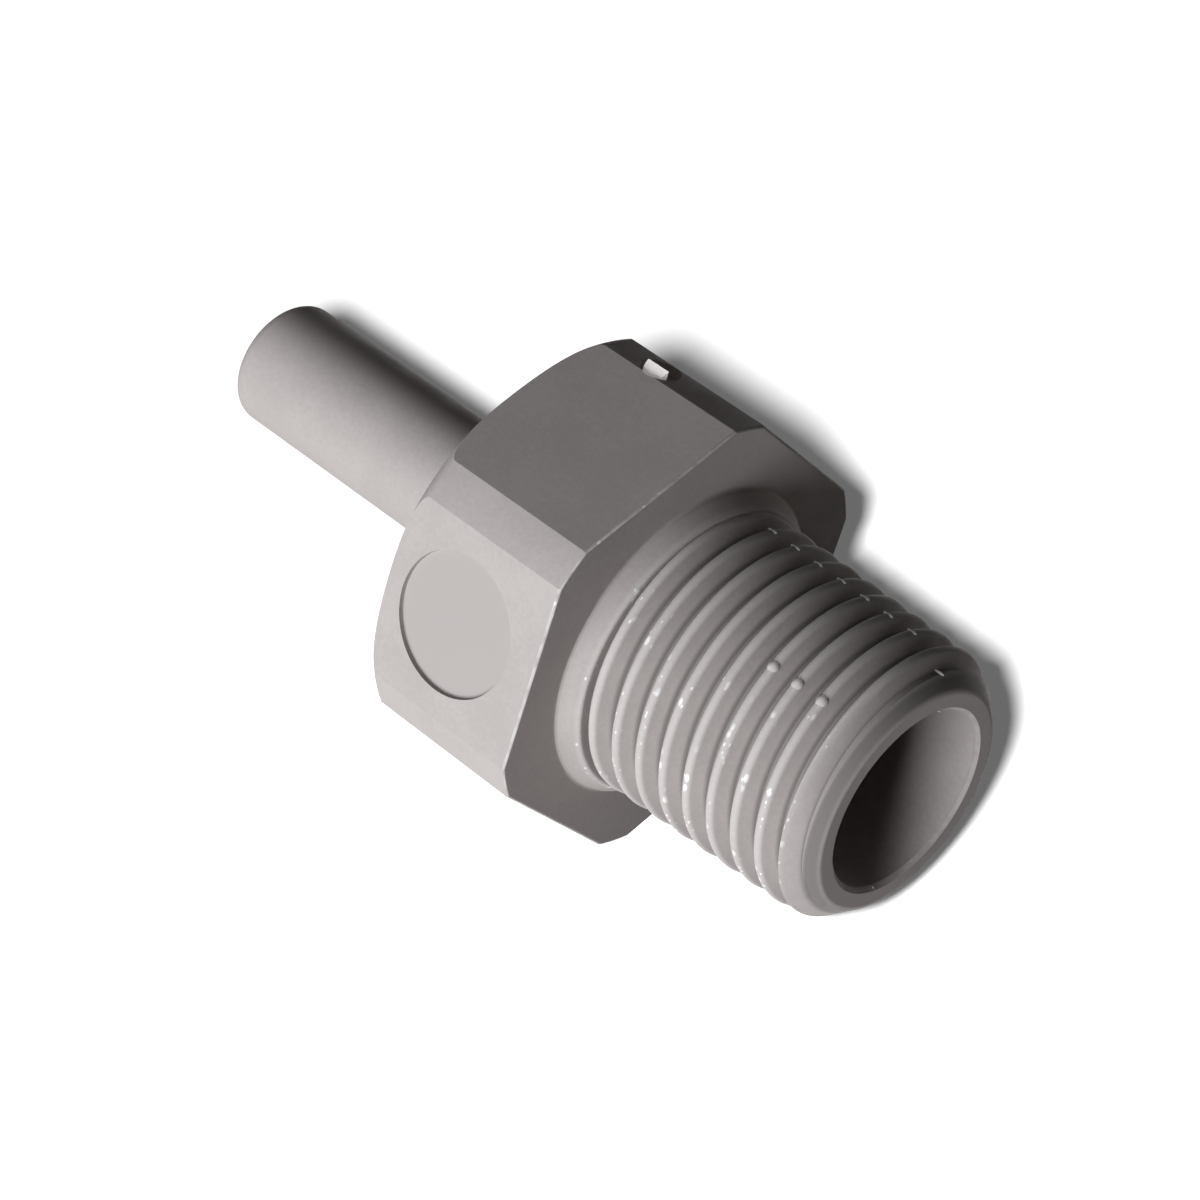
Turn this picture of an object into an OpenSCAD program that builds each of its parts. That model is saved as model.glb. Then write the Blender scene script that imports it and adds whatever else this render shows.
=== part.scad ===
// Push-fit stem adapter: a plain stem, a hexagon and an external taper pipe thread, moulded in one piece.
// The axis lies along X, with the stem at -X and the thread at +X. One flat of the hexagon rests on Z = 0.

/* [Stem] */
// Outside diameter of the stem
stem_d = 6; // [4:0.1:8]
// Length of the stem behind the hexagon
stem_len = 17.2; // [12:0.1:30]
// Rounding of the stem's end
stem_end_r = 0.6; // [0.2:0.05:0.6]
// Wall of the stem
stem_wall = 1; // [0.9:0.05:1.4]

/* [Hexagon] */
// Size across the flats
nut_af = 19; // [17:0.1:24]
// Depth by which the six corners are rounded off
corner_cut = 0.5; // [0.3:0.02:0.9]
// Length of the hexagon
nut_len = 8.9; // [8.6:0.1:14]
// Radius of the rounded back edge
back_edge_r = 1.85; // [1.8:0.05:2.4]
// Distance from the flats inwards to where the rounding of the back edge starts
back_edge_in = 0.6; // [0.1:0.05:0.6]
// Diameter of the round recess in one flat
recess_d = 6.4; // [4:0.1:7]
// Depth of the round recess
recess_depth = 0.25; // [0.1:0.05:0.6]
// Distance from the hexagon's front face to the middle of the recess
recess_from_face = 4.7; // [4:0.1:5]
// Diameter of the gate pocket on the parting line
gate_d = 2.2; // [1:0.1:2.4]
// Depth of the gate pocket
gate_depth = 0.5; // [0.2:0.05:0.8]
// Distance from the hexagon's front face to the middle of the gate pocket
gate_from_face = 5.3; // [3:0.1:6]

/* [Thread] */
// Major diameter at the gauge plane
thread_gauge_d = 13.157; // [12.5:0.001:14]
// Distance from the thread's end to the gauge plane
gauge_len = 4.7; // [4:0.1:8]
// Pitch
thread_pitch = 1.337; // [1.2:0.001:1.5]
// Length of the thread, measured from the hexagon's front face
thread_len = 13.2; // [9:0.1:16]
// Length over which the diameter grows by 1
taper_run = 16; // [14:1:20]
// Bearing of a crest that stands first_crest from the hexagon's face, in degrees from +Y towards +Z
crest_bearing = 148; // [0:1:359]
// Distance of that crest from the hexagon's face
first_crest = 1.35; // [1.1:0.05:1.6]
// Diameter of the shoulder where it leaves the hexagon's face
shoulder_d = 15.4; // [15:0.1:17]
// Diameter of the shoulder's front edge
shoulder_front_d = 13.7; // [13.4:0.1:14.6]
// Length of the shoulder
shoulder_len = 0.6; // [0.4:0.05:0.8]
// Length of the lead-in cone at the thread's end
lead_len = 1.3; // [0.5:0.05:1.6]
// Diameter of the flat ring at the thread's end, outside
end_ring_d = 10.6; // [10:0.1:11.2]

/* [Waterway] */
// Diameter of the wide bore at the thread's end
wide_bore_d = 8.6; // [6:0.1:9]
// Length of the wide bore inside the hexagon
bore_into_nut = 3.2; // [0.5:0.1:5]
// Chamfer at both mouths
mouth_chamfer = 0.2; // [0.1:0.05:0.25]

/* [Hidden] */

$fn = 96;
// Overlap that keeps cuts clear of the faces that they open
cut = 1;
// Steps of the helix in one turn, and points of the thread form in one pitch
turn_steps = 36;
form_steps = 6;

// Clearance that keeps the lead-in off the crest where it starts
lead_clear = 0.01;

total_len = stem_len + nut_len + thread_len;
// Height of the axis above the flat that the adapter rests on
axis_z = nut_af / 2;

// Places along the axis, measured from the stem's end
nut_back = stem_len;
nut_front = stem_len + nut_len;

flat_r = nut_af / 2;
corner_r = flat_r / cos(30) - corner_cut;
// Bearings of the flat with the recess and of the corner with the gate pocket
recess_bearing = 150;
gate_bearing = 60;
stem_bore_d = stem_d - 2 * stem_wall;

// Fifty-five degree form with rounded crest and root
flank_angle = 27.5;
form_depth = 0.640327 * thread_pitch;
round_r = 0.137329 * thread_pitch;
round_half = round_r * cos(flank_angle);
round_drop = round_r * (1 - sin(flank_angle));
// Axial place and depth below the crest of each point of the form, from one root to the next
form_z = [-thread_pitch / 2, -thread_pitch / 2 + round_half, -round_half, 0, round_half,
    thread_pitch / 2 - round_half];
form_drop = [form_depth, form_depth - round_drop, round_drop, 0, round_drop, form_depth - round_drop];

// Turns of the helix, with spare ones that are hidden in the hexagon or cut off at the end
spare_turns = 3;
turns = ceil(thread_len / thread_pitch) + 2 * spare_turns;
rows = turns * form_steps;

// Radius of the crests at a distance z from the hexagon's face
function crest_r(z) = thread_gauge_d / 2 + (thread_len - gauge_len - z) / taper_run / 2;

// Point of the screw surface: step i round the axis, row j along it
function screw_point(i, j) =
    let (bearing = 360 * i / turn_steps,
        k = j % form_steps,
        turn = floor(j / form_steps) - spare_turns,
        z = first_crest + thread_pitch * (turn + (bearing - crest_bearing) / 360) + form_z[k],
        r = crest_r(z) - form_drop[k])
    [r * cos(bearing), r * sin(bearing), z];

function screw_index(i, j) = i < turn_steps ? j * turn_steps + i : (j + form_steps) * turn_steps;

// Solid screw, longer than the thread at both ends
module screw() {
    surface = [for (j = [0:rows]) for (i = [0:turn_steps - 1]) screw_point(i, j)];
    low = len(surface);
    high = low + 1;
    low_z = screw_point(0, 0)[2];
    high_z = screw_point(0, rows)[2];
    last = rows - form_steps;
    low_loop = concat([for (i = [0:turn_steps - 1]) screw_index(i, 0)],
        [for (j = [form_steps:-1:1]) screw_index(0, j)]);
    high_loop = concat([for (i = [0:turn_steps - 1]) screw_index(i, last)],
        [for (j = [rows:-1:last + 1]) screw_index(0, j)]);
    polyhedron(
        points = concat(surface, [[0, 0, low_z], [0, 0, high_z]]),
        faces = concat(
            [for (j = [0:last - 1]) for (i = [0:turn_steps - 1])
                [screw_index(i, j), screw_index(i, j + 1), screw_index(i + 1, j + 1)]],
            [for (j = [0:last - 1]) for (i = [0:turn_steps - 1])
                [screw_index(i, j), screw_index(i + 1, j + 1), screw_index(i + 1, j)]],
            [for (n = [0:len(low_loop) - 1])
                [low, low_loop[n], low_loop[(n + 1) % len(low_loop)]]],
            [for (n = [0:len(high_loop) - 1])
                [high, high_loop[(n + 1) % len(high_loop)], high_loop[n]]]));
}

// Outline of the screw's two ends: flat in the hexagon, a lead-in cone and a flat ring at the free end
module thread_envelope() {
    lead_r = crest_r(thread_len - lead_len) + lead_clear;
    rotate_extrude()
        polygon([[0, -cut / 2], [shoulder_d / 2, -cut / 2], [lead_r + cut, thread_len - lead_len - cut],
            [lead_r, thread_len - lead_len], [end_ring_d / 2, thread_len], [0, thread_len]]);
}

module thread() {
    intersection() {
        screw();
        thread_envelope();
    }
}

// Conical collar between the hexagon's face and the first groove of the thread
module shoulder() {
    translate([0, 0, -cut / 2])
        cylinder(h = cut / 2, d = shoulder_d);
    cylinder(h = shoulder_len, d1 = shoulder_d, d2 = shoulder_front_d);
}

// Hexagon with rounded corners and a rounded back edge, from z = 0 at the back
module nut() {
    round_mid_r = flat_r - back_edge_in;
    intersection() {
        cylinder(h = nut_len, r = flat_r / cos(30), $fn = 6);
        rotate_extrude()
            intersection() {
                square([corner_r, nut_len]);
                union() {
                    square([round_mid_r, nut_len]);
                    translate([0, back_edge_r])
                        square([round_mid_r + back_edge_r, nut_len]);
                    translate([round_mid_r, back_edge_r])
                        circle(back_edge_r);
                }
            }
    }
}

// Stem with a rounded end at z = 0
module stem() {
    rotate_extrude()
        union() {
            translate([0, stem_end_r])
                square([stem_d / 2, stem_len + cut - stem_end_r]);
            square([stem_d / 2 - stem_end_r, stem_len]);
            translate([stem_d / 2 - stem_end_r, stem_end_r])
                circle(stem_end_r);
        }
}

// Straight way through the piece: a narrow bore, a wide bore and a cone that joins them
module waterway() {
    step = (wide_bore_d - stem_bore_d) / 2;
    wide_start = nut_front - bore_into_nut;
    translate([0, 0, -cut])
        cylinder(h = total_len, d = stem_bore_d);
    translate([0, 0, wide_start - step])
        cylinder(h = step, d1 = stem_bore_d, d2 = wide_bore_d);
    translate([0, 0, wide_start])
        cylinder(h = total_len - wide_start + cut, d = wide_bore_d);
    translate([0, 0, -mouth_chamfer])
        cylinder(h = 2 * mouth_chamfer, d1 = stem_bore_d + 4 * mouth_chamfer, d2 = stem_bore_d);
    translate([0, 0, total_len - mouth_chamfer])
        cylinder(h = 2 * mouth_chamfer, d1 = wide_bore_d, d2 = wide_bore_d + 4 * mouth_chamfer);
}

// Round pocket cut radially to the given depth below a face at distance face_r from the axis
module radial_pocket(bearing, from_face, face_r, d, depth) {
    translate([0, 0, nut_front - from_face])
        rotate(bearing)
            translate([face_r - depth, 0, 0])
                rotate([0, 90, 0])
                    cylinder(h = depth + cut, d = d);
}

// The whole moulding about the Z axis, from the stem's end at z = 0 to the thread's end.
// Bearings run from +Y of the finished part towards its +Z.
module moulding() {
    difference() {
        union() {
            stem();
            translate([0, 0, nut_back])
                nut();
            translate([0, 0, nut_front]) {
                shoulder();
                thread();
            }
        }
        waterway();
        radial_pocket(recess_bearing, recess_from_face, flat_r, recess_d, recess_depth);
        radial_pocket(gate_bearing, gate_from_face, corner_r, gate_d, gate_depth);
    }
}

module adapter_body() {
    color("#8f8a86")
        translate([-total_len / 2, 0, axis_z])
            rotate([90, 0, 90])
                moulding();
}

adapter_body();
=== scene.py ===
"""Looks of the push-fit stem adapter: one grey moulding with a stem, a hexagon and a taper pipe thread."""

import logging
import math
from dataclasses import dataclass
from enum import Enum
from functools import reduce
from types import MappingProxyType
from typing import Callable, Mapping, Sequence

import bmesh
import bpy
from mathutils import Matrix, Vector


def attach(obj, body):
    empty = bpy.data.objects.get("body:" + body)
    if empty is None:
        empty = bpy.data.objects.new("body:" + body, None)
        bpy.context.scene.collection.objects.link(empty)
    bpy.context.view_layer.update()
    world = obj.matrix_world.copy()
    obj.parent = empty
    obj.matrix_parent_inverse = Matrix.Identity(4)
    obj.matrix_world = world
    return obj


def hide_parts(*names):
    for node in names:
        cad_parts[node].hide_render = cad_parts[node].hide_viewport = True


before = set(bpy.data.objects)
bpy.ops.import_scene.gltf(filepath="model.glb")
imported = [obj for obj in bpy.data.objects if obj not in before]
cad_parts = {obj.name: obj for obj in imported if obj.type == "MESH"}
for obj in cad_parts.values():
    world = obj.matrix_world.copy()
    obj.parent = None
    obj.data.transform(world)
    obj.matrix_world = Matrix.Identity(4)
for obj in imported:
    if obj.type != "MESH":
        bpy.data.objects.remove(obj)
log = logging.getLogger("adapter")

Piece = bpy.types.Object
Socket = bpy.types.NodeSocket
Outputs = bpy.types.NodeOutputs
Level = Socket | float
Source = Level | tuple[float, ...]
Setting = str | bpy.types.NodeTree
Color = tuple[float, float, float]
Span = tuple[float, float]
Station = tuple[float, float]
Spot = tuple[float, float, float]
Test = Callable[[Vector], bool]

EMPTY = MappingProxyType({})
MM = 0.001
# Two places closer than this are one
TOUCH = 0.001 * MM
FLAT_RADIUS = 9.5 * MM
# A hair less than the part's own 10.4697 mm, so that the looks stay inside it
CORNER_RADIUS = 10.4696 * MM
AXIS_Z = FLAT_RADIUS
STEM_END_X = -19.65 * MM
BACK_X = -2.45 * MM
FACE_X = 6.45 * MM
THREAD_END_X = 19.65 * MM
SIDES = 144


class Bearing(Enum):
    """Bearings round the axis, in degrees from +Y towards +Z."""

    PARTING_TOP = 56.0
    INSERT_SEAM = 107.0
    MARKED_FLAT = 150.0
    PARTING_BOTTOM = 236.0


class Join(Enum):
    """How one solid is joined to another."""

    ADD = "UNION"
    CUT = "DIFFERENCE"
    KEEP_COMMON = "INTERSECT"


class Element(Enum):
    """What is picked in a mesh."""

    CORNER = "VERT"
    EDGE = "EDGE"
    FACE = "FACE"


class Reach(Enum):
    """What a lamp lights."""

    FLOOR_ONLY = "INCLUDE"
    ALL_BUT_FLOOR = "EXCLUDE"


class Shape(Enum):
    """Shape of a lamp."""

    SQUARE = "SQUARE"
    DISK = "DISK"


def at(x: float, radius: float, bearing: float) -> Vector:
    """Point beside the axis, by x and radius in metres and a bearing in degrees from +Y towards +Z."""
    turn = math.radians(bearing)
    return Vector((x, radius * math.cos(turn), AXIS_Z + radius * math.sin(turn)))


def arc(x: float, radius: float, size: float, start: float, end: float, steps: int) -> list[Station]:
    """Round stretch of an outline.

    Args:
        x: place of the arc's middle along the axis, in metres.
        radius: distance of its middle from the axis.
        size: the arc's own radius.
        start: angle of the first station, in radians from outwards towards +X.
        end: angle of the last station.
        steps: steps between them.

    Returns:
        Its stations, from first to last.
    """
    turns = [start + (end - start) * i / steps for i in range(steps + 1)]
    return [(x + size * math.sin(turn), radius + size * math.cos(turn)) for turn in turns]


def clear_selection() -> None:
    """Deselect every object, as the loaded part starts selected."""
    bpy.ops.object.select_all(action="DESELECT")


def begin(name: str) -> Piece:
    """Name the primitive that was just added and settle its place into its mesh.

    Args:
        name: the piece's name.

    Returns:
        The piece, active and selected.
    """
    piece = bpy.context.active_object
    piece.name = name
    bpy.ops.object.transform_apply(location=True, rotation=True, scale=True)
    return piece


def near_x(x: float) -> Test:
    """Test for corners that stand at a place along the axis, in metres."""
    return lambda corner: abs(corner.x - x) < TOUCH


def pick(kind: Element, test: Test) -> None:
    """In edit mode, select the corners, edges or faces whose every corner passes a test.

    Args:
        kind: what is picked.
        test: says whether a corner belongs.
    """
    bpy.ops.mesh.select_mode(type=kind.value)
    bpy.ops.mesh.select_all(action="DESELECT")
    data = bpy.context.edit_object.data
    mesh = bmesh.from_edit_mesh(data)
    parts = {Element.CORNER: mesh.verts, Element.EDGE: mesh.edges, Element.FACE: mesh.faces}
    for part in parts[kind]:
        corners = [part] if kind is Element.CORNER else part.verts
        part.select_set(all(test(corner.co) for corner in corners))
    mesh.select_flush_mode()
    bmesh.update_edit_mesh(data)


def soften(test: Test, width: float, steps: int) -> None:
    """Round the active piece's edges whose every corner passes a test.

    Args:
        test: says whether a corner belongs.
        width: how far the rounding reaches from the edge, in metres.
        steps: steps of the rounding.
    """
    bpy.ops.object.mode_set(mode="EDIT")
    pick(Element.EDGE, test)
    bpy.ops.mesh.bevel(offset=width, segments=steps, affect="EDGES")
    bpy.ops.object.mode_set(mode="OBJECT")


def rod(name: str, start: float, end: float, radius: float, sides: int = SIDES) -> Piece:
    """Straight bar round the adapter's axis.

    Args:
        name: the piece's name.
        start: where it starts along the axis, in metres.
        end: where it ends.
        radius: distance of its corners from the axis.
        sides: sides of the bar.

    Returns:
        The bar.
    """
    clear_selection()
    bpy.ops.mesh.primitive_cylinder_add(vertices=sides, radius=radius, depth=end - start,
                                        location=((end + start) / 2, 0, AXIS_Z), rotation=(0, math.pi / 2, 0))
    return begin(name)


def peg(name: str, x: float, top: float, bearing: float, radius: float, height: float, sides: int) -> Piece:
    """Peg that points away from the adapter's axis.

    Args:
        name: the piece's name.
        x: place along the axis, in metres.
        top: distance of its top from the axis.
        bearing: degrees from +Y towards +Z.
        radius: the peg's own radius.
        height: its height.
        sides: its sides.

    Returns:
        The peg.
    """
    clear_selection()
    bpy.ops.mesh.primitive_cylinder_add(vertices=sides, radius=radius, depth=height,
                                        location=at(x, top - height / 2, bearing),
                                        rotation=(math.radians(bearing - 90), 0, 0))
    return begin(name)


def turned(name: str, outline: Sequence[Station], sides: int = SIDES) -> Piece:
    """Turned solid: a cone between the first two stations, its end drawn out station by station.

    Args:
        name: the piece's name.
        outline: stations of place and radius in metres, towards +X.
        sides: sides of the solid.

    Returns:
        The solid.
    """
    (x, radius), (next_x, next_radius) = outline[:2]
    clear_selection()
    bpy.ops.mesh.primitive_cone_add(vertices=sides, radius1=radius, radius2=next_radius, depth=next_x - x,
                                    location=((x + next_x) / 2, 0, AXIS_Z), rotation=(0, math.pi / 2, 0))
    piece = begin(name)
    bpy.ops.object.mode_set(mode="EDIT")
    pick(Element.FACE, near_x(next_x))
    for station, radius in outline[2:]:
        bpy.ops.mesh.extrude_region_move(TRANSFORM_OT_translate={"value": (station - next_x, 0, 0)})
        ratio = radius / next_radius
        bpy.ops.transform.resize(value=(1, ratio, ratio), center_override=(station, 0, AXIS_Z))
        next_x, next_radius = station, radius
    bpy.ops.object.mode_set(mode="OBJECT")
    return piece


def merge(piece: Piece, other: Piece, how: Join) -> Piece:
    """Join another solid to a piece with an applied Boolean modifier, and remove the other.

    Args:
        piece: the solid that stays.
        other: the solid that is used up, in the piece's finish if it has none.
        how: added, cut away or kept in common.

    Returns:
        The piece.
    """
    if piece.data.materials and not other.data.materials:
        other.data.materials.append(piece.data.materials[0])
    clear_selection()
    bpy.context.view_layer.objects.active = piece
    piece.select_set(True)
    joint = piece.modifiers.new("join", "BOOLEAN")
    joint.operation = how.value
    joint.solver = "EXACT"
    joint.object = other
    joint.material_mode = "TRANSFER"
    bpy.ops.object.modifier_apply(modifier=joint.name)
    bpy.data.objects.remove(other)
    return piece


@dataclass
class Stem:
    """Plain round stem that pushes into a fitting."""

    radius: float = 3.0 * MM
    end_round: float = 0.6 * MM
    round_steps: int = 8
    inner_x: float = BACK_X + 1.0 * MM

    def build(self) -> Piece:
        """Round bar with its free end rounded.

        Returns:
            The stem, reaching into the hexagon.
        """
        piece = rod("stem", STEM_END_X, self.inner_x, self.radius)
        soften(near_x(STEM_END_X), self.end_round, self.round_steps)
        return piece


@dataclass
class Hexagon:
    """Spanner hexagon with rounded corners and a rounded back."""

    back_round: float = 1.85 * MM
    back_in: float = 0.6 * MM
    back_steps: int = 14
    # Angle by which the back's arc stops short of the corners, in radians, and the steps of the curve there
    corner_ease: float = 0.2
    ease_steps: int = 6
    front_round: float = 0.14 * MM
    front_steps: int = 3

    def blank(self) -> Piece:
        """Six-sided bar with its front edges eased.

        Returns:
            The bar, with a flat on top.
        """
        piece = rod("hexagon", BACK_X, FACE_X, FLAT_RADIUS / math.cos(math.pi / 6), sides=6)
        soften(near_x(FACE_X), self.front_round, self.front_steps)
        return piece

    def envelope(self) -> Piece:
        """Turned outline of the corners: an arc behind, a quadratic curve out of it, and eased in front.

        Returns:
            The outline as a solid.
        """
        middle = FLAT_RADIUS - self.back_in
        last = math.acos((CORNER_RADIUS - middle) / self.back_round) + self.corner_ease
        outline = arc(BACK_X + self.back_round, middle, self.back_round, -math.pi / 2, -last, self.back_steps)
        x, radius = outline[-1]
        bend = x + (CORNER_RADIUS - radius) / math.tan(last)
        for i in range(1, self.ease_steps + 1):
            share = i / self.ease_steps
            rest = 1 - share
            outline.append((x * rest ** 2 + 2 * bend * share * rest + (2 * bend - x) * share ** 2,
                            CORNER_RADIUS - (CORNER_RADIUS - radius) * rest ** 2))
        outline += arc(FACE_X - self.front_round, CORNER_RADIUS - self.front_round, self.front_round,
                       0, math.pi / 2, self.front_steps)
        return turned("corners", outline, sides=SIDES * 2)

    def build(self) -> Piece:
        """Bar cut to its outline."""
        return merge(self.blank(), self.envelope(), Join.KEEP_COMMON)


@dataclass
class Collar:
    """Neck between the hexagon's face and the first groove of the thread."""

    fillet_radius: float = 7.62 * MM
    foot_radius: float = 7.42 * MM
    fillet_steps: int = 3
    front_radius: float = 6.88 * MM
    length: float = 0.9 * MM
    edge_round: float = 0.09 * MM
    edge_steps: int = 4
    sunk: float = 0.5 * MM

    def build(self) -> Piece:
        """Neck with a small fillet at its foot and a rounded front edge, sunk in the hexagon.

        Returns:
            The collar.
        """
        fillet = self.fillet_radius - self.foot_radius
        outline = [(FACE_X - self.sunk, self.fillet_radius)]
        outline += arc(FACE_X + fillet, self.fillet_radius, fillet, -math.pi / 2, -math.pi, self.fillet_steps)
        outline.append((FACE_X + self.length, self.front_radius))
        piece = turned("collar", outline)
        soften(near_x(FACE_X + self.length), self.edge_round, self.edge_steps)
        return piece


@dataclass
class PipeThread:
    """External taper pipe thread with rounded crests and roots."""

    pitch: float = 1.337 * MM
    gauge_radius: float = 6.5785 * MM
    gauge_x: float = 14.95 * MM
    crest_x: float = FACE_X + 1.35 * MM
    crest_bearing: float = 148.0
    taper: float = 1 / 32
    # Thread form: its depth as a share of the pitch, the lean of its flanks in degrees, its roundings
    depth_share: float = 0.640327
    flank_lean: float = 27.5
    crest_round: float = 0.265 * MM
    crest_steps: int = 10
    root_round: float = 0.102 * MM
    root_steps: int = 3
    turn_steps: int = 120
    spare_turns: int = 2
    # Lead-in cone, the flat ring at its end, and the nose in which the last groove runs out
    lead: float = 1.3 * MM
    ring_radius: float = 5.3 * MM
    ring_round: float = 0.18 * MM
    ring_steps: int = 5
    nose_radius: float = 5.74 * MM
    nose_slope: Station = (0.4 * MM, 0.6 * MM)
    nose_short: float = 0.2 * MM
    clear: float = 0.01 * MM
    # Outline where it leaves the crests free: in the hexagon, and just behind the lead-in
    foot_radius: float = 7.7 * MM
    sunk: float = 0.5 * MM
    free: Station = (0.18 * MM, 0.4 * MM)

    def form(self) -> list[Station]:
        """One pitch of the thread form, from root to root.

        Returns:
            Places along the axis and depths below the crest.
        """
        depth = self.depth_share * self.pitch
        lean = math.radians(90 - self.flank_lean)
        crest, root = [], []
        for i in range(self.crest_steps + 1):
            turn = lean * (2 * i / self.crest_steps - 1)
            crest.append((self.crest_round * math.sin(turn), self.crest_round * (1 - math.cos(turn))))
        for i in range(self.root_steps + 1):
            turn = lean * i / self.root_steps
            root.append((self.root_round * math.sin(turn), depth - self.root_round * (1 - math.cos(turn))))
        left = [(x - self.pitch / 2, drop) for x, drop in root]
        right = [(self.pitch / 2 - x, drop) for x, drop in reversed(root)]
        return left + crest + right

    def form_line(self) -> Piece:
        """The form as a line of edges, drawn by extruding the one corner that is left of a plane.

        Returns:
            The line, at the bearing of the crests.
        """
        start_x = self.crest_x - self.spare_turns * self.pitch
        form = self.form()
        clear_selection()
        bpy.ops.mesh.primitive_plane_add(size=self.pitch, location=(self.gauge_x, 0, AXIS_Z))
        piece = bpy.context.active_object
        piece.name = "thread"
        bpy.ops.object.mode_set(mode="EDIT")
        pick(Element.CORNER, lambda corner: not (corner.x > 0 and corner.y > 0))
        bpy.ops.mesh.delete(type="VERT")
        bpy.ops.mesh.select_all(action="SELECT")
        half = self.pitch / 2
        x, drop = form[0]
        spot = Vector((start_x + x - self.gauge_x, self.gauge_radius - drop, 0))
        bpy.ops.transform.translate(value=spot - Vector((half, half, 0)))
        for next_x, next_drop in form[1:]:
            step = (next_x - x, drop - next_drop, 0)
            bpy.ops.mesh.extrude_region_move(TRANSFORM_OT_translate={"value": step})
            x, drop = next_x, next_drop
        bpy.ops.mesh.select_all(action="SELECT")
        bpy.ops.transform.rotate(value=-math.radians(self.crest_bearing), orient_axis="X",
                                 center_override=(self.gauge_x, 0, AXIS_Z))
        bpy.ops.object.mode_set(mode="OBJECT")
        return piece

    def close_end(self, low: bool) -> None:
        """Close one end of the open screw surface with a fan to the axis.

        Args:
            low: the end towards the stem, otherwise the free one.
        """
        bpy.ops.mesh.select_mode(type="EDGE")
        bpy.ops.mesh.select_all(action="DESELECT")
        data = bpy.context.edit_object.data
        mesh = bmesh.from_edit_mesh(data)
        middle = (FACE_X + THREAD_END_X) / 2 - self.gauge_x
        for edge in mesh.edges:
            edge.select_set(edge.is_boundary and all((v.co.x < middle) == low for v in edge.verts))
        mesh.select_flush_mode()
        bmesh.update_edit_mesh(data)
        bpy.ops.mesh.extrude_edges_move(TRANSFORM_OT_translate={"value": (0, 0, 0)})
        bpy.ops.mesh.merge(type="CENTER")

    def screw(self) -> Piece:
        """Screw longer than the thread: the form's line wound about the axis, closed and tapered.

        Returns:
            The screw.
        """
        piece = self.form_line()
        winding = piece.modifiers.new("winding", "SCREW")
        winding.axis = "X"
        winding.angle = math.tau
        winding.screw_offset = self.pitch
        winding.iterations = math.ceil((THREAD_END_X - FACE_X) / self.pitch) + 2 * self.spare_turns
        winding.steps = winding.render_steps = self.turn_steps
        winding.use_merge_vertices = True
        winding.merge_threshold = TOUCH / 10
        bpy.ops.object.modifier_apply(modifier=winding.name)
        bpy.ops.object.mode_set(mode="EDIT")
        bpy.ops.mesh.select_all(action="SELECT")
        bpy.ops.mesh.remove_doubles(threshold=TOUCH)
        for low in (True, False):
            self.close_end(low)
        bpy.ops.mesh.select_all(action="SELECT")
        bpy.ops.mesh.normals_make_consistent(inside=False)
        bpy.ops.object.mode_set(mode="OBJECT")
        xs = [v.co.x for v in piece.data.vertices]
        taper = piece.modifiers.new("taper", "SIMPLE_DEFORM")
        taper.deform_method = "TAPER"
        taper.deform_axis = "X"
        taper.factor = -self.taper * (max(xs) - min(xs)) / self.gauge_radius
        bpy.ops.object.modifier_apply(modifier=taper.name)
        bpy.ops.object.transform_apply(location=True, rotation=True, scale=True)
        return piece

    def crest_radius(self, x: float) -> float:
        """Radius of the crests at a place along the axis, in metres."""
        return self.gauge_radius - (x - self.gauge_x) * self.taper

    def lead_start(self) -> Station:
        """Place and radius at which the lead-in cone starts, in metres."""
        x = THREAD_END_X - self.lead
        return x, self.crest_radius(x) + self.clear

    def envelope(self) -> Piece:
        """Turned outline of the thread: sunk in the hexagon, a lead-in cone, a flat ring.

        Returns:
            The outline as a solid.
        """
        x, radius = self.lead_start()
        back, out = self.free
        piece = turned("outline", [(FACE_X - self.sunk, self.foot_radius), (FACE_X, self.foot_radius),
                                   (x - back, radius + out), (x, radius), (THREAD_END_X, self.ring_radius)])
        soften(near_x(THREAD_END_X), self.ring_round, self.ring_steps)
        return piece

    def nose(self) -> Piece:
        """Turned nose just inside the outline, in which the last groove runs out.

        Returns:
            The nose.
        """
        x, radius = self.lead_start()
        fall = (radius - self.ring_radius) / self.lead
        end = THREAD_END_X - self.nose_short
        meet = THREAD_END_X - (self.nose_radius - self.ring_radius) / fall - self.clear
        run, rise = self.nose_slope
        return turned("nose", [(x, self.nose_radius - rise), (x + run, self.nose_radius),
                               (meet, self.nose_radius), (end, self.nose_radius - (end - meet) * fall)])

    def build(self) -> Piece:
        """Screw cut to its outline, with its nose."""
        return merge(merge(self.screw(), self.envelope(), Join.KEEP_COMMON), self.nose(), Join.ADD)


@dataclass
class Waterway:
    """Way through the piece: narrow bore, cone and wide bore, with eased mouths."""

    narrow_radius: float = 2.0 * MM
    wide_radius: float = 4.3 * MM
    wide_x: float = 3.25 * MM
    mouth: float = 0.2 * MM
    over: float = 0.5 * MM

    def cutter(self) -> Piece:
        """Turned solid of the waterway, longer than the piece.

        Returns:
            The cutter.
        """
        cone_x = self.wide_x - self.wide_radius + self.narrow_radius
        return turned("waterway", [
            (STEM_END_X - self.over, self.narrow_radius + self.mouth),
            (STEM_END_X, self.narrow_radius + self.mouth),
            (STEM_END_X + self.mouth, self.narrow_radius),
            (cone_x, self.narrow_radius),
            (self.wide_x, self.wide_radius),
            (THREAD_END_X - self.mouth, self.wide_radius),
            (THREAD_END_X, self.wide_radius + self.mouth),
            (THREAD_END_X + self.over, self.wide_radius + self.mouth)])


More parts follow.
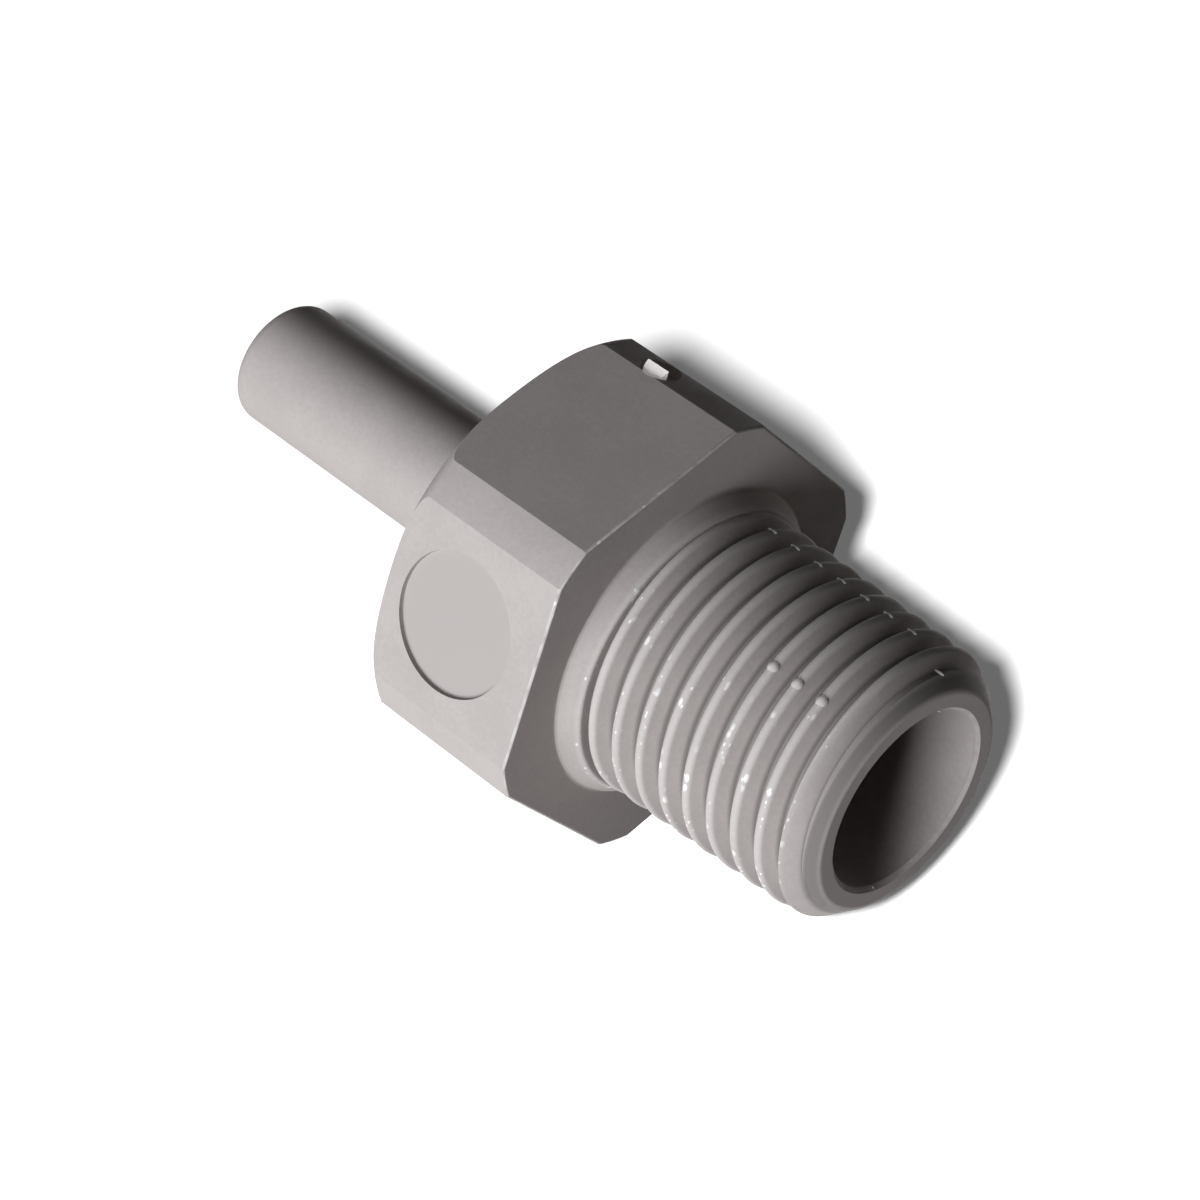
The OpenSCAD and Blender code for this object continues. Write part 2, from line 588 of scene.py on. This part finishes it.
@dataclass
class RoundPanel:
    """Shallow round recess in one flat, left bare."""

    radius: float = 3.2 * MM
    depth: float = 0.25 * MM
    x: float = FACE_X - 4.7 * MM
    floor_round: float = 0.06 * MM
    round_steps: int = 3
    over: float = 1.0 * MM

    def cutter(self) -> Piece:
        """Peg with an eased floor, standing on the flat.

        Returns:
            The cutter.
        """
        bearing = Bearing.MARKED_FLAT.value
        piece = peg("panel_cutter", self.x, FLAT_RADIUS + self.over, bearing, self.radius,
                    self.depth + self.over, SIDES)
        axis = at(0, 0, 0)
        outward = at(0, 1, bearing) - axis
        floor = FLAT_RADIUS - self.depth
        soften(lambda corner: abs((corner - axis).dot(outward) - floor) < TOUCH,
               self.floor_round, self.round_steps)
        return piece


@dataclass
class GateScar:
    """Round pocket on the parting line, where the plastic was let into the mould, and the gate's remnant."""

    x: float = FACE_X - 5.3 * MM
    radius: float = 0.95 * MM
    depth: float = 0.5 * MM
    bearing: float = 60.3
    sides: int = 48
    over: float = 1.0 * MM
    stub_bearing: float = 61.7
    stub_radius: float = 0.6 * MM
    stub_sides: int = 40
    stub_rise: float = 0.27 * MM
    stub_fall: float = 0.5 * MM
    stub_edge: float = 0.01 * MM
    stub_sunk: float = 0.2 * MM

    def cutter(self) -> Piece:
        """Peg standing on the corner."""
        return peg("gate_cutter", self.x, CORNER_RADIUS + self.over, self.bearing, self.radius,
                   self.depth + self.over, self.sides)

    def stub(self, finish: bpy.types.Material) -> Piece:
        """Half-round remnant of the broken gate, its face falling from the middle towards the upper flat.

        Args:
            finish: material of the broken face.

        Returns:
            The remnant, standing in the pocket.
        """
        turn = math.radians(self.stub_bearing)
        outward = Vector((0, math.cos(turn), math.sin(turn)))
        aside = Vector((0, -math.sin(turn), math.cos(turn)))
        top = CORNER_RADIUS + self.stub_rise
        piece = peg("gate_stub", self.x, top, self.stub_bearing, self.stub_radius,
                    self.depth + self.stub_rise + self.stub_sunk, self.stub_sides)
        slope = (outward * self.stub_radius + aside * self.stub_fall).normalized()
        bpy.ops.object.mode_set(mode="EDIT")
        for height, side, inner in ((top, aside, True), (top - self.stub_edge, slope, False)):
            bpy.ops.mesh.select_all(action="SELECT")
            bpy.ops.mesh.bisect(plane_co=at(self.x, height, self.stub_bearing), plane_no=side, use_fill=True,
                                clear_inner=inner, clear_outer=not inner, threshold=TOUCH)
        bpy.ops.mesh.select_all(action="SELECT")
        bpy.ops.mesh.normals_make_consistent(inside=False)
        bpy.ops.object.mode_set(mode="OBJECT")
        piece.data.materials.append(finish)
        return piece


@dataclass
class CrestMarks:
    """Marks that the mould leaves on the crests: beads at the insert's seam, flash at the parting line."""

    bead_radius: float = 0.22 * MM
    bead_stretch: Spot = (1.2, 1.5, 0.9)
    bead_sunk: float = 0.12 * MM
    seam_turns: tuple[int, ...] = (5, 6, 7)
    flash_radius: float = 0.09 * MM
    flash_stretch: Spot = (3.0, 0.8, 1.0)
    flash_sunk: float = 0.03 * MM
    parting_turns: tuple[int, ...] = (1, 2, 3, 4, 5, 6, 7)
    # Ticks on the lead-in cone and at the mouth: distance from the thread's end, radius, shift in degrees
    lead_tick: Station = (0.7 * MM, 5.86 * MM)
    mouth_tick: Station = (0.28 * MM, 4.37 * MM)
    tick_shift: float = 4.0
    # Foot of a grain: what lies lower than this share of its height is flattened by this factor
    foot: float = 0.3
    foot_squash: float = 0.4

    def grain(self, name: str, radius: float, stretch: Spot) -> Piece:
        """Small rounded grain at the axis, drawn out and flattened at its foot.

        Args:
            name: the grain's name.
            radius: before it is drawn out, in metres.
            stretch: factors along the axis, round it and outwards.

        Returns:
            The grain.
        """
        clear_selection()
        bpy.ops.mesh.primitive_ico_sphere_add(subdivisions=2, radius=radius)
        piece = begin(name)
        bpy.ops.object.mode_set(mode="EDIT")
        bpy.ops.mesh.select_all(action="SELECT")
        bpy.ops.transform.resize(value=stretch, center_override=(0, 0, 0))
        pick(Element.CORNER, lambda corner: corner.z < -self.foot * radius * stretch[2])
        bpy.ops.transform.resize(value=(1, 1, self.foot_squash), center_override=(0, 0, 0))
        bpy.ops.object.mode_set(mode="OBJECT")
        return piece

    def spread(self, grain: Piece, spots: Sequence[Spot]) -> Piece:
        """Copy a grain to its places and join the copies.

        Args:
            grain: the grain that is copied, used up here.
            spots: place along the axis, radius and bearing of each copy.

        Returns:
            All copies as one object.
        """
        copies = []
        for x, radius, bearing in spots:
            copy = grain.copy()
            copy.data = grain.data.copy()
            bpy.context.collection.objects.link(copy)
            copy.location = at(x, radius, bearing)
            copy.rotation_euler = (math.radians(bearing - 90), 0, 0)
            copies.append(copy)
        bpy.data.objects.remove(grain)
        clear_selection()
        for copy in copies:
            copy.select_set(True)
        bpy.context.view_layer.objects.active = copies[0]
        bpy.ops.object.join()
        bpy.ops.object.transform_apply(location=True, rotation=True, scale=True)
        return copies[0]

    def crest_spots(self, thread: PipeThread, place: Bearing, turns: Sequence[int],
                    sunk: float) -> list[Spot]:
        """Places on the crest line at one bearing.

        Args:
            thread: the thread that carries them.
            place: the bearing.
            turns: which turns of the crest line.
            sunk: depth below the crest, in metres.

        Returns:
            Place along the axis, radius and bearing of each.
        """
        spots = []
        for turn in turns:
            x = thread.crest_x + thread.pitch * (turn + (place.value - thread.crest_bearing) / 360)
            spots.append((x, thread.crest_radius(x) - sunk, place.value))
        return spots

    def beads(self, thread: PipeThread) -> Piece:
        """Beads on the thread's crests along the insert's seam."""
        spots = self.crest_spots(thread, Bearing.INSERT_SEAM, self.seam_turns, self.bead_sunk)
        return self.spread(self.grain("beads", self.bead_radius, self.bead_stretch), spots)

    def flash(self, thread: PipeThread) -> Piece:
        """Thin ticks of flash on the parting line: across the crests, on the lead-in and at the mouth.

        Args:
            thread: the thread that carries them.

        Returns:
            The ticks.
        """
        partings = (Bearing.PARTING_TOP, Bearing.PARTING_BOTTOM)
        spots = []
        for place in partings:
            spots += self.crest_spots(thread, place, self.parting_turns, self.flash_sunk)
        for (back, radius), places in ((self.lead_tick, partings[:1]), (self.mouth_tick, partings)):
            spots += [(THREAD_END_X - back, radius, place.value + self.tick_shift) for place in places]
        return self.spread(self.grain("flash", self.flash_radius, self.flash_stretch), spots)


class Nodes:
    """Short hand for wiring the nodes of a material, a group or the world."""

    def __init__(self, tree: bpy.types.NodeTree) -> None:
        """Keep the tree that is wired."""
        self.tree = tree

    def wire(self, given: Mapping[str | int, Source], inputs: bpy.types.NodeInputs) -> None:
        """Link sockets to a node's inputs, or set their values.

        Args:
            given: output socket, number or tuple for each input, by its name or number.
            inputs: the node's inputs.
        """
        for name, source in given.items():
            if isinstance(source, Socket):
                self.tree.links.new(source, inputs[name])
            else:
                inputs[name].default_value = source

    def add(self, kind: str, given: Mapping[str | int, Source] = EMPTY, **settings: Setting) -> Outputs:
        """New shader node.

        Args:
            kind: its type, without the leading ShaderNode.
            given: what its inputs get.
            settings: its properties.

        Returns:
            Its outputs.
        """
        node = self.tree.nodes.new("ShaderNode" + kind)
        for name, value in settings.items():
            setattr(node, name, value)
        self.wire(given, node.inputs)
        return node.outputs

    def math(self, operation: str, *values: Level) -> Socket:
        """Result of a sum on one to three levels."""
        return self.add("Math", dict(enumerate(values)), operation=operation)[0]

    def times(self, first: Level, second: Level) -> Socket:
        """Product of two levels."""
        return self.math("MULTIPLY", first, second)

    def larger(self, first: Level, second: Level) -> Socket:
        """The larger of two levels."""
        return self.math("MAXIMUM", first, second)

    def ramp(self, value: Socket, span: Span, result: Span = (0.0, 1.0)) -> Socket:
        """Smooth step of a value over a span, clamped to the results at its two ends."""
        levels = dict(zip(("From Min", "From Max", "To Min", "To Max"), span + result))
        return self.add("MapRange", levels | {"Value": value}, interpolation_type="SMOOTHSTEP")["Result"]

    def split(self, vector: Socket) -> Outputs:
        """X, Y and Z of a vector."""
        return self.add("SeparateXYZ", {0: vector})

    def noise(self, place: Socket, size: float, detail: float = 2.0) -> Socket:
        """Level of a noise with grains of a real size, in metres."""
        return self.add("TexNoise", {"Vector": place, "Scale": 1 / size, "Detail": detail})["Fac"]

    def blend(self, share: Socket, first: Source, second: Source) -> Socket:
        """Mix of two colours, by the share of the second."""
        return self.add("Mix", {"Factor": share, "A": first, "B": second}, data_type="RGBA")["Result"]

    def bump(self, height: Socket, strength: float, distance: float) -> Socket:
        """Normal of a fine relief whose full height is a distance in metres."""
        return self.add("Bump", {"Height": height, "Strength": strength, "Distance": distance})["Normal"]


def tinted(color: Color, factor: float = 1.0) -> tuple[float, ...]:
    """Opaque colour, darker or lighter by a factor."""
    return tuple(channel * factor for channel in color) + (1.0,)


@dataclass(frozen=True)
class MouldGrain:
    """Grain of a moulded skin: mottled colour, uneven gloss and a fine height."""

    cloud_size: float = 2.6 * MM
    cloud_detail: float = 3.0
    cloud_share: float = 0.55
    grain_size: float = 0.22 * MM
    grain_share: float = 0.45
    spread: Span = (0.36, 0.64)

    def group(self) -> bpy.types.NodeTree:
        """Node group that both finishes use.

        Returns:
            The group.
        """
        group = bpy.data.node_groups.new("moulded_grain", "ShaderNodeTree")
        for way, kind, names in (("INPUT", "Vector", ("Place",)), ("INPUT", "Color", ("Dark", "Light")),
                                 ("INPUT", "Float", ("Smooth", "Rough")), ("OUTPUT", "Color", ("Color",)),
                                 ("OUTPUT", "Float", ("Roughness", "Height"))):
            for name in names:
                group.interface.new_socket(name, in_out=way, socket_type="NodeSocket" + kind)
        given = group.nodes.new("NodeGroupInput").outputs
        result = group.nodes.new("NodeGroupOutput").inputs
        nodes = Nodes(group)
        cloud = nodes.noise(given["Place"], self.cloud_size, self.cloud_detail)
        grain = nodes.noise(given["Place"], self.grain_size)
        both = nodes.math("ADD", nodes.times(cloud, self.cloud_share), nodes.times(grain, self.grain_share))
        even = nodes.ramp(both, self.spread)
        gap = nodes.math("SUBTRACT", given["Rough"], given["Smooth"])
        nodes.wire({"Color": nodes.blend(even, given["Dark"], given["Light"]),
                    "Roughness": nodes.math("MULTIPLY_ADD", even, gap, given["Smooth"]),
                    "Height": grain}, result)
        return group

    @staticmethod
    def place(nodes: Nodes, group: bpy.types.NodeTree, color: Color, mottle: Span, gloss: Span) -> Outputs:
        """Put the group into a material, on Object coordinates.

        Args:
            nodes: the material's nodes.
            group: the node group.
            color: middle colour.
            mottle: factors of its dark and light places.
            gloss: roughness of its smooth and rough places.

        Returns:
            The group's colour, roughness and height.
        """
        dark, light = (tinted(color, factor) for factor in mottle)
        return nodes.add("Group", {"Place": nodes.add("TexCoord")["Object"], "Dark": dark, "Light": light,
                                   "Smooth": gloss[0], "Rough": gloss[1]}, node_tree=group)


@dataclass(frozen=True)
class Specks:
    """Scattered specks of a real size, drawn out round the axis."""

    spacing: float
    radius: float
    share: float
    squeeze: Spot = (1.8, 1.0, 1.0)
    core: float = 0.45

    def mask(self, nodes: Nodes, place: Socket) -> Socket:
        """Mask of the specks.

        Args:
            nodes: the material's nodes.
            place: coordinates.

        Returns:
            The mask.
        """
        drawn = nodes.add("VectorMath", {0: place, 1: self.squeeze}, operation="MULTIPLY")["Vector"]
        cells = nodes.add("TexVoronoi", {"Vector": drawn, "Scale": 1 / self.spacing})
        chance = nodes.add("SeparateColor", {0: cells["Color"]})[0]
        size = self.radius / self.spacing
        speck = nodes.ramp(cells["Distance"], (size, self.core * size))
        return nodes.times(speck, nodes.math("LESS_THAN", chance, self.share))


@dataclass
class SkinMasks:
    """Masks on the moulded skin. Each span runs from where its mask is nought to where it is one."""

    nodes: Nodes
    # Heights over the line of the crests, and places along the axis
    crest_span: Span = (-0.22 * MM, -0.02 * MM)
    mark_span: Span = (0.015 * MM, 0.07 * MM)
    root_span: Span = (-0.55 * MM, -0.8 * MM)
    bore_span: Span = (-1.2 * MM, -1.0 * MM)
    crest_from: Span = (FACE_X + 0.6 * MM, FACE_X + 0.8 * MM)
    mark_from: Span = (FACE_X + 0.95 * MM, FACE_X + 1.05 * MM)
    # Distances of the panel's floor from the axis, and how far it faces where the flat does
    panel_under: Span = (FLAT_RADIUS - 0.07 * MM, FLAT_RADIUS - 0.17 * MM)
    panel_over: Span = (FLAT_RADIUS - 0.5 * MM, FLAT_RADIUS - 0.4 * MM)
    panel_facing: Span = (0.94, 0.98)
    # The hexagon's front rim: how far it faces forward, its place and its radius
    rim_turned: Span = (0.1, 0.35)
    rim_flat: Span = (0.98, 0.85)
    rim_from: Span = (FACE_X - 0.24 * MM, FACE_X - 0.14 * MM)
    rim_radius: Span = (8.9 * MM, 9.1 * MM)
    # The mouth's lip: its middle outside the bore, the distance from there, and its place
    lip_out: float = 0.12 * MM
    lip_span: Span = (0.13 * MM, 0.04 * MM)
    lip_from: Span = (THREAD_END_X - 0.26 * MM, THREAD_END_X - 0.1 * MM)
    # Painted glints as specks on the crests, in patches on the lit side, and uneven rubbing with nicks on the
    # edges
    coarse: Specks = Specks(0.7 * MM, 0.3 * MM, 0.4)
    fine: Specks = Specks(0.36 * MM, 0.13 * MM, 0.5)
    patch_size: float = 1.9 * MM
    patch_detail: float = 1.0
    patch_span: Span = (0.42, 0.56)
    patch_side: Span = (-1.0 * MM, -3.5 * MM)
    nicks: Specks = Specks(0.6 * MM, 0.16 * MM, 0.5)
    rub_size: float = 0.7 * MM
    rub_span: Span = (0.34, 0.66)

    def __post_init__(self) -> None:
        """Work out the coordinates that the masks share."""
        nodes, thread = self.nodes, PipeThread()
        self.place = nodes.add("TexCoord")["Object"]
        self.normal = nodes.split(nodes.add("NewGeometry")["Normal"])
        self.x, self.y, z = nodes.split(self.place)
        self.up = nodes.math("SUBTRACT", z, AXIS_Z)
        square = nodes.math("MULTIPLY_ADD", self.up, self.up, nodes.times(self.y, self.y))
        self.radius = nodes.math("SQRT", square)
        crest = nodes.math("MULTIPLY_ADD", self.x, -thread.taper, thread.crest_radius(0))
        self.proud = nodes.math("SUBTRACT", self.radius, crest)

    def within(self, *spans: tuple[Socket, Span]) -> Socket:
        """Share of a place that several values put within their spans."""
        return reduce(self.nodes.times, [self.nodes.ramp(value, span) for value, span in spans])

    def crests(self) -> Socket:
        """Mask of the thread's crests."""
        return self.within((self.proud, self.crest_span), (self.x, self.crest_from))

    def marks(self) -> Socket:
        """Mask of what stands above the crests."""
        return self.within((self.proud, self.mark_span), (self.x, self.mark_from))

    def roots(self) -> Socket:
        """Mask of the thread's roots, where shade is painted, without the bore."""
        return self.within((self.proud, self.root_span), (self.proud, self.bore_span))

    def towards_panel(self, y: Socket, z: Socket) -> Socket:
        """How far a place or a normal lies towards the marked flat."""
        turn = math.radians(Bearing.MARKED_FLAT.value)
        return self.nodes.math("MULTIPLY_ADD", z, math.sin(turn), self.nodes.times(y, math.cos(turn)))

    def panel_floor(self) -> Socket:
        """Mask of the round panel's floor, where shade is painted."""
        height, facing = self.towards_panel(self.y, self.up), self.towards_panel(*self.normal[1:])
        return self.within((height, self.panel_under), (height, self.panel_over), (facing, self.panel_facing))

    def rim(self) -> Socket:
        """Mask of the hexagon's front rim."""
        return self.within((self.normal["X"], self.rim_turned), (self.normal["X"], self.rim_flat),
                           (self.x, self.rim_from), (self.radius, self.rim_radius))

    def lip(self) -> Socket:
        """Mask of the lip at the wide bore's mouth."""
        away = self.nodes.math("SUBTRACT", self.radius, Waterway().wide_radius + self.lip_out)
        return self.within((self.nodes.math("ABSOLUTE", away), self.lip_span), (self.x, self.lip_from))

    def specks(self) -> Socket:
        """Mask of the painted glints: bright specks, coarse and fine, in patches on the lit side.

        Returns:
            The mask.
        """
        coarse, fine = (kind.mask(self.nodes, self.place) for kind in (self.coarse, self.fine))
        both = self.nodes.larger(coarse, fine)
        cloud = self.nodes.noise(self.place, self.patch_size, self.patch_detail)
        # Only on the -Y side, where the key light falls: painted glints
        return self.nodes.times(both, self.within((cloud, self.patch_span), (self.y, self.patch_side)))

    def rubbed(self, wear: Span) -> Socket:
        """How far a rubbed edge is worn: unevenly over the span given, and fully in small nicks."""
        uneven = self.nodes.ramp(self.nodes.noise(self.place, self.rub_size), self.rub_span, wear)
        return self.nodes.larger(uneven, self.nicks.mask(self.nodes, self.place))


@dataclass(frozen=True)
class MouldedPlastic:
    """Satin grey moulded acetal: fine mottle, painted shade in the roots, pale worn edges, and bright specks
    on the crests that are painted glints on the lit side.
    """

    base: Color = (0.345, 0.306, 0.29)
    worn_and_glint: Color = (0.82, 0.79, 0.76)
    mottle: Span = (0.955, 1.045)
    gloss: Span = (0.5, 0.64)
    sheen: float = 0.06
    # Factors on the base colour that paint shade into the round panel's floor and into the thread's roots
    panel_shade: float = 0.93
    root_shade: float = 0.5
    # Relief: its height, the share that shows, and what the grain and the marks and glint specks add
    bump: float = 0.012 * MM
    bump_share: float = 0.6
    grain_height: float = 0.5
    marks_and_glints_height: float = 1.5
    # Wear and painted glints: share of the pale colour at most, and how much each place has of it
    wear_and_glint_share: float = 0.65
    crest_wear: float = 0.16
    mark_wear: float = 0.3
    lip_wear: float = 0.5
    rub_wear: Span = (0.1, 0.45)
    marks_and_glints_polish: float = 0.18

    def material(self, grain: bpy.types.NodeTree) -> bpy.types.Material:
        """Procedural material on Object coordinates.

        Args:
            grain: node group of the moulded grain.

        Returns:
            The material.
        """
        skin = bpy.data.materials.new("moulded_plastic")
        skin.use_nodes = True
        nodes = Nodes(skin.node_tree)
        shader = skin.node_tree.nodes["Principled BSDF"].inputs
        surface = MouldGrain.place(nodes, grain, self.base, self.mottle, self.gloss)
        masks = SkinMasks(nodes)
        crests = masks.crests()
        # Lighter marks above the crests, and painted glints as specks on the crests' lit side
        marks_and_glints = nodes.larger(nodes.times(masks.marks(), self.mark_wear), nodes.times(crests, masks.specks()))
        edges = nodes.larger(masks.rim(), nodes.times(masks.lip(), self.lip_wear))
        rub = nodes.times(edges, masks.rubbed(self.rub_wear))
        # Wear on crests and edges, together with the painted glints
        wear = nodes.larger(nodes.times(crests, self.crest_wear), nodes.larger(marks_and_glints, rub))
        # Painted shade: the round panel's floor is a little darker than the flat
        color = nodes.blend(masks.panel_floor(), surface["Color"], tinted(self.base, self.panel_shade))
        # Painted shade: the thread's roots are darkened towards a darker base colour
        color = nodes.blend(masks.roots(), color, tinted(self.base, self.root_shade))
        color = nodes.blend(nodes.times(wear, self.wear_and_glint_share), color, tinted(self.worn_and_glint))
        rough = nodes.math("SUBTRACT", surface["Roughness"], nodes.times(marks_and_glints, self.marks_and_glints_polish))
        height = nodes.math("ADD", nodes.times(surface["Height"], self.grain_height),
                            nodes.times(marks_and_glints, self.marks_and_glints_height))
        nodes.wire({"Base Color": color, "Roughness": rough, "Specular IOR Level": self.sheen,
                    "Normal": nodes.bump(height, self.bump_share, self.bump)}, shader)
        return skin


@dataclass(frozen=True)
class BrokenPlastic:
    """Whitened, rough face where the gate was broken off, with a painted glow that keeps it bright in shade.
    """

    base: Color = (0.86, 0.8, 0.78)
    mottle: Span = (0.9, 1.0)
    gloss: Span = (0.6, 0.8)
    sheen: float = 0.3
    # Painted glow: emission strength of the broken face, though it is no lamp
    glow: float = 0.28
    bump: float = 0.03 * MM
    bump_share: float = 0.8

    def material(self, grain: bpy.types.NodeTree) -> bpy.types.Material:
        """Procedural material on Object coordinates.

        Args:
            grain: node group of the moulded grain.

        Returns:
            The material.
        """
        face = bpy.data.materials.new("broken_plastic")
        face.use_nodes = True
        nodes = Nodes(face.node_tree)
        shader = face.node_tree.nodes["Principled BSDF"].inputs
        surface = MouldGrain.place(nodes, grain, self.base, self.mottle, self.gloss)
        # Painted glow: the face emits its own colour
        nodes.wire({"Base Color": surface["Color"], "Roughness": surface["Roughness"],
                    "Specular IOR Level": self.sheen, "Emission Color": surface["Color"],
                    "Emission Strength": self.glow,
                    "Normal": nodes.bump(surface["Height"], self.bump_share, self.bump)}, shader)
        return face


@dataclass
class Moulding:
    """The whole adapter, joined into one piece."""

    skin: MouldedPlastic
    broken: BrokenPlastic
    # Edges that turn by less than this many degrees are shaded smooth
    smooth_angle: float = 27.0

    def build(self) -> Piece:
        """Join the forms, cut the waterway and pockets, dress the piece and tie it to the part.

        Returns:
            The finished piece.
        """
        grain = MouldGrain().group()
        thread, marks, gate = PipeThread(), CrestMarks(), GateScar()
        piece = Hexagon().build()
        piece.data.materials.clear()
        piece.data.materials.append(self.skin.material(grain))
        merge(piece, RoundPanel().cutter(), Join.CUT)
        merge(piece, gate.cutter(), Join.CUT)
        merge(piece, Stem().build(), Join.ADD)
        merge(piece, Collar().build(), Join.ADD)
        merge(piece, thread.build(), Join.ADD)
        merge(piece, Waterway().cutter(), Join.CUT)
        merge(piece, marks.beads(thread), Join.ADD)
        merge(piece, marks.flash(thread), Join.ADD)
        merge(piece, gate.stub(self.broken.material(grain)), Join.ADD)
        piece.name = piece.data.name = "adapter_moulding"
        clear_selection()
        piece.select_set(True)
        bpy.context.view_layer.objects.active = piece
        bpy.ops.object.shade_smooth_by_angle(angle=math.radians(self.smooth_angle))
        even = piece.modifiers.new("even_shading", "WEIGHTED_NORMAL")
        even.keep_sharp = True
        bpy.ops.object.modifier_apply(modifier=even.name)
        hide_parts("adapter_body")
        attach(piece, "root")
        return piece


@dataclass(frozen=True)
class Lamp:
    """Soft lamp that looks at the middle of the part, with its lengths in metres and its power in watts."""

    name: str
    direction: Spot
    distance: float
    size: float
    power: float
    reach: Reach
    shape: Shape = Shape.SQUARE
    color: Color = (1.0, 1.0, 1.0)
    aim: Spot = (2 * MM, 0, AXIS_Z)

    def build(self, floor: Piece) -> None:
        """Set the lamp, and keep its light on the floor or off it.

        Args:
            floor: the floor.
        """
        clear_selection()
        way = Vector(self.direction)
        bpy.ops.object.light_add(type="AREA", location=Vector(self.aim) + way.normalized() * self.distance,
                                 rotation=way.to_track_quat("Z", "Y").to_euler())
        lamp = bpy.context.active_object
        lamp.name = lamp.data.name = self.name
        lamp.data.shape = self.shape.value
        lamp.data.size = self.size
        lamp.data.energy = self.power
        lamp.data.color = self.color
        group = bpy.data.collections.new(self.name + "_light")
        group.objects.link(floor)
        lamp.light_linking.receiver_collection = group
        group.collection_objects[0].light_linking.link_state = self.reach.value


@dataclass
class Studio:
    """Pale floor, soft lamps and the camera at the photograph's viewing angle."""

    # Soft key from the marked side, and a lamp beside the camera that lays the shadow on the floor
    key: Lamp = Lamp("key", (0.135, -0.95, 0.265), 0.3, 0.2, 1.8, Reach.ALL_BUT_FLOOR,
                     color=(0.95, 1.0, 1.05))
    beside: Lamp = Lamp("beside_camera", (76.26, -83.07, 130.14), 0.1722, 16 * MM, 0.66, Reach.FLOOR_ONLY,
                        Shape.DISK)
    ambient: float = 0.025
    floor_side: float = 3.0
    floor_drop: float = 0.02 * MM
    floor_shade: float = 0.85
    floor_bounce: float = 0.04
    floor_glow: float = 0.12
    floor_roughness: float = 0.9
    floor_sheen: float = 0.1
    # Distances from the origin between which the floor fades to white, and the rays that see it so
    fade: Span = (30 * MM, 60 * MM)
    looking: tuple[str, ...] = ("Is Camera Ray", "Is Glossy Ray", "Is Transmission Ray")
    # Camera as fitted to the photograph: place in millimetres, axes of its picture, focal length for 36 mm
    camera_place: Spot = (90.427, -70.702, 138.02)
    camera_right: Spot = (0.69833, 0.70974, -0.09275)
    camera_up: Spot = (-0.49563, 0.57296, 0.65274)
    lens: float = 117.986
    near_limit: float = 1 * MM

    def seen(self, nodes: Nodes) -> Socket:
        """One for rays that look at the background, directly or by reflection, and nought for its light."""
        path = nodes.add("LightPath")
        return reduce(nodes.larger, [path[name] for name in self.looking])

    def floor(self) -> Piece:
        """Large pale plane under the part, which keeps the shadow.

        Returns:
            The floor.
        """
        clear_selection()
        bpy.ops.mesh.primitive_plane_add(size=self.floor_side, location=(0, 0, -self.floor_drop))
        floor = begin("floor")
        paint = bpy.data.materials.new("pale_floor")
        paint.use_nodes = True
        nodes = Nodes(paint.node_tree)
        shader = paint.node_tree.nodes["Principled BSDF"].inputs
        white = (1.0, 1.0, 1.0)
        seen = self.seen(nodes)
        color = nodes.blend(seen, tinted(white, self.floor_bounce), tinted(white, self.floor_shade))
        away = nodes.add("VectorMath", {0: nodes.add("TexCoord")["Object"]}, operation="LENGTH")
        glow = nodes.times(seen, nodes.ramp(away["Value"], self.fade, (self.floor_glow, 1.0)))
        nodes.wire({"Base Color": color, "Roughness": self.floor_roughness,
                    "Specular IOR Level": self.floor_sheen, "Emission Color": tinted(white),
                    "Emission Strength": glow}, shader)
        floor.data.materials.append(paint)
        return floor

    def sky(self) -> None:
        """White behind the scene, and a low even light from all round."""
        world = bpy.data.worlds.new("studio")
        bpy.context.scene.world = world
        world.use_nodes = True
        nodes = Nodes(world.node_tree)
        strength = nodes.ramp(self.seen(nodes), (0.0, 1.0), (self.ambient, 1.0))
        nodes.wire({"Color": tinted((1.0, 1.0, 1.0)), "Strength": strength},
                   world.node_tree.nodes["Background"].inputs)

    def camera(self) -> None:
        """Camera with the place, direction and lens fitted to the photograph."""
        clear_selection()
        bpy.ops.object.camera_add()
        camera = bpy.context.active_object
        right, up = Vector(self.camera_right), Vector(self.camera_up)
        turn = Matrix((right, up, right.cross(up))).transposed().to_4x4()
        camera.matrix_world = Matrix.Translation(Vector(self.camera_place) * MM) @ turn
        camera.data.lens = self.lens
        camera.data.clip_start = self.near_limit
        bpy.context.scene.camera = camera

    def build(self) -> None:
        """Set the floor, lamps, background and camera."""
        floor = self.floor()
        self.key.build(floor)
        self.beside.build(floor)
        self.sky()
        self.camera()
        bpy.context.scene.view_settings.view_transform = "Standard"


def main() -> None:
    """Build the adapter's looks and the studio, and log the piece's face count."""
    logging.basicConfig(level=logging.INFO, format="%(name)s: %(message)s")
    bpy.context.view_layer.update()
    piece = Moulding(MouldedPlastic(), BrokenPlastic()).build()
    log.info("%s: %d faces", piece.name, len(piece.data.polygons))
    Studio().build()
    log.info("studio: floor, two lamps and camera")


if __name__ == "__main__":
    main()
